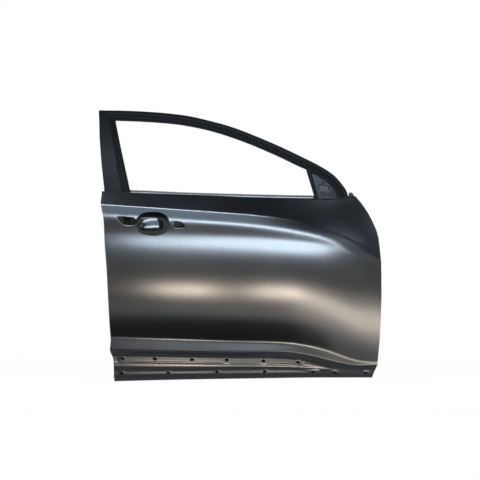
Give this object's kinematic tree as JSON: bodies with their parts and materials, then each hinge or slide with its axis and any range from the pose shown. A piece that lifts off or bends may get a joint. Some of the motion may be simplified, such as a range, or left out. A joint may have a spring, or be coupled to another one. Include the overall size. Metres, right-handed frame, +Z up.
{
  "type": "car door shell",
  "caption": "Pressed-steel front right car door shell with window frame, folded hem, crash beam and hollow cavity, in primer.",
  "frame": {"origin": "middle of the bounding box's underside, below the sill edge", "axes": "+X to the front of the car, -Y out of the car, +Z up; the door stands as it hangs on the car"},
  "size_m": [1.1596, 0.209, 1.1113],
  "materials": {
    "black_primed_skin": "satin black electro-coat primer",
    "black_primed_inner_steel": "satin black electro-coat primer",
    "black_primed_frame_steel": "satin black electro-coat primer",
    "black_primed_tube": "satin black electro-coat primer",
    "black_primed_nut": "satin black electro-coat primer",
    "grey_mastic": "matt baked mastic"
  },
  "bodies": {
    "root": {"outer_panel": "black_primed_skin", "inner_panel": "black_primed_inner_steel", "header_rail": "black_primed_frame_steel", "b_pillar_sash": "black_primed_frame_steel", "front_post": "black_primed_frame_steel", "rear_run_channel": "black_primed_frame_steel", "mirror_gusset": "black_primed_frame_steel", "impact_beam": "black_primed_tube", "upper_hinge_tapping_plate": "black_primed_nut", "lower_hinge_tapping_plate": "black_primed_nut", "mirror_weld_nut_1": "black_primed_nut", "mirror_weld_nut_2": "black_primed_nut", "mirror_weld_nut_3": "black_primed_nut", "anti_flutter_pad_1": "grey_mastic", "anti_flutter_pad_2": "grey_mastic", "anti_flutter_pad_3": "grey_mastic", "anti_flutter_pad_4": "grey_mastic", "rear_run_bracket": "black_primed_inner_steel", "front_run_bracket": "black_primed_inner_steel", "belt_outer_reinforcement": "black_primed_inner_steel", "belt_inner_reinforcement": "black_primed_inner_steel", "impact_beam_front_bracket": "black_primed_inner_steel", "impact_beam_rear_bracket": "black_primed_inner_steel", "hinge_reinforcement": "black_primed_inner_steel", "check_arm_reinforcement": "black_primed_inner_steel", "latch_reinforcement": "black_primed_inner_steel", "handle_reinforcement": "black_primed_inner_steel", "pull_handle_bracket": "black_primed_inner_steel"}
  },
  "joints": []
}
